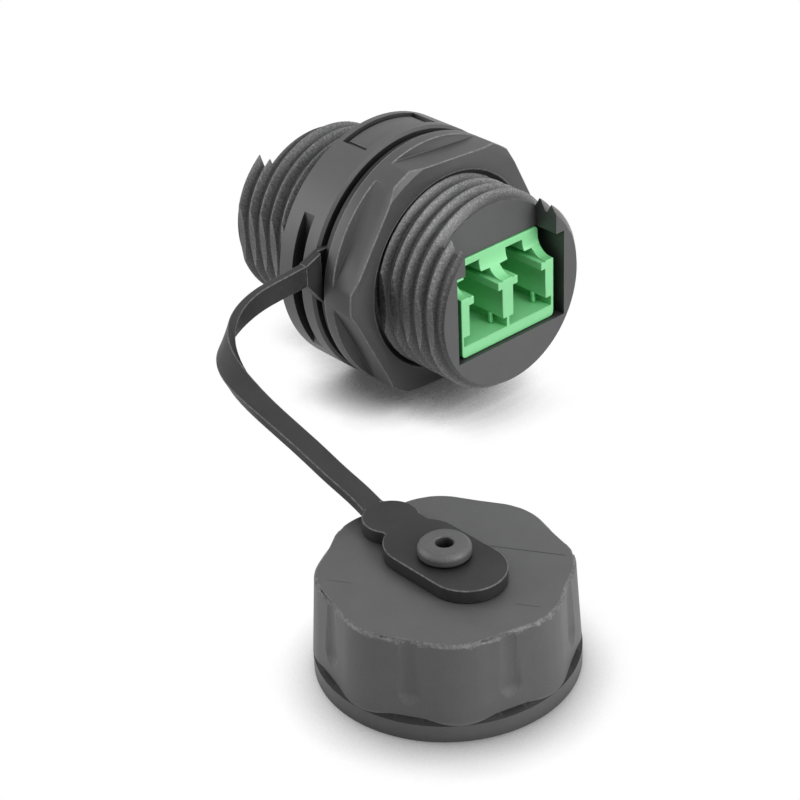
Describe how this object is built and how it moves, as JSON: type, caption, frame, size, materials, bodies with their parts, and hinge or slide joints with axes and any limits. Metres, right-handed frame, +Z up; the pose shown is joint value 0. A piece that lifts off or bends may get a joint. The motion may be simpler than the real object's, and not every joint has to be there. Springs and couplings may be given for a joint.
{
  "type": "panel mount duplex lc fibre coupler with tethered dust cap",
  "caption": "Round threaded bulkhead coupler with a green duplex fibre adapter in its bore, flange, hexagon nut and a lobed screw cap on a rubber tether.",
  "frame": {"origin": "centre of the flange's front face, on the barrel's axis, where the panel seats", "axes": "+X along the barrel to its front end, +Z up, the part lies on its round flange at Z = -14 mm"},
  "size_m": [0.0703, 0.0594, 0.028],
  "materials": {
    "black_polyamide": "fine moulded grain, dark grey black",
    "black_rubber": "smooth matt black",
    "green_plastic": "satin, slightly translucent light green",
    "zirconia": "polished white"
  },
  "bodies": {
    "coupler": {"barrel_body": "black_polyamide", "adapter_front": "green_plastic", "adapter_rear": "green_plastic", "sleeve_left": "zirconia", "sleeve_right": "zirconia", "tether": "black_rubber"},
    "washer": {"seal_washer": "black_rubber"},
    "nut": {"panel_nut": "black_polyamide"},
    "cap": {"dust_cap": "black_polyamide", "cap_rivet": "black_polyamide", "cap_seal": "black_rubber"}
  },
  "joints": [
    {"name": "nut_travel", "type": "slide", "parent": "coupler", "child": "washer", "axis": [1, 0, 0], "range_m": [0, 0.0135]},
    {"name": "nut_spin", "type": "hinge", "parent": "washer", "child": "nut", "pos_m": [0.004, 0, 0], "axis": [1, 0, 0], "range_deg": [0, 2680.2]},
    {"name": "cap_swivel", "type": "hinge", "parent": "coupler", "child": "cap", "pos_m": [0.0402, -0.0334, -0.0043], "axis": [0, 0, 1], "continuous": true}
  ],
  "couplings": [
    {"joint": "nut_spin", "follows": "nut_travel", "rad_per_m": 3463.7}
  ]
}
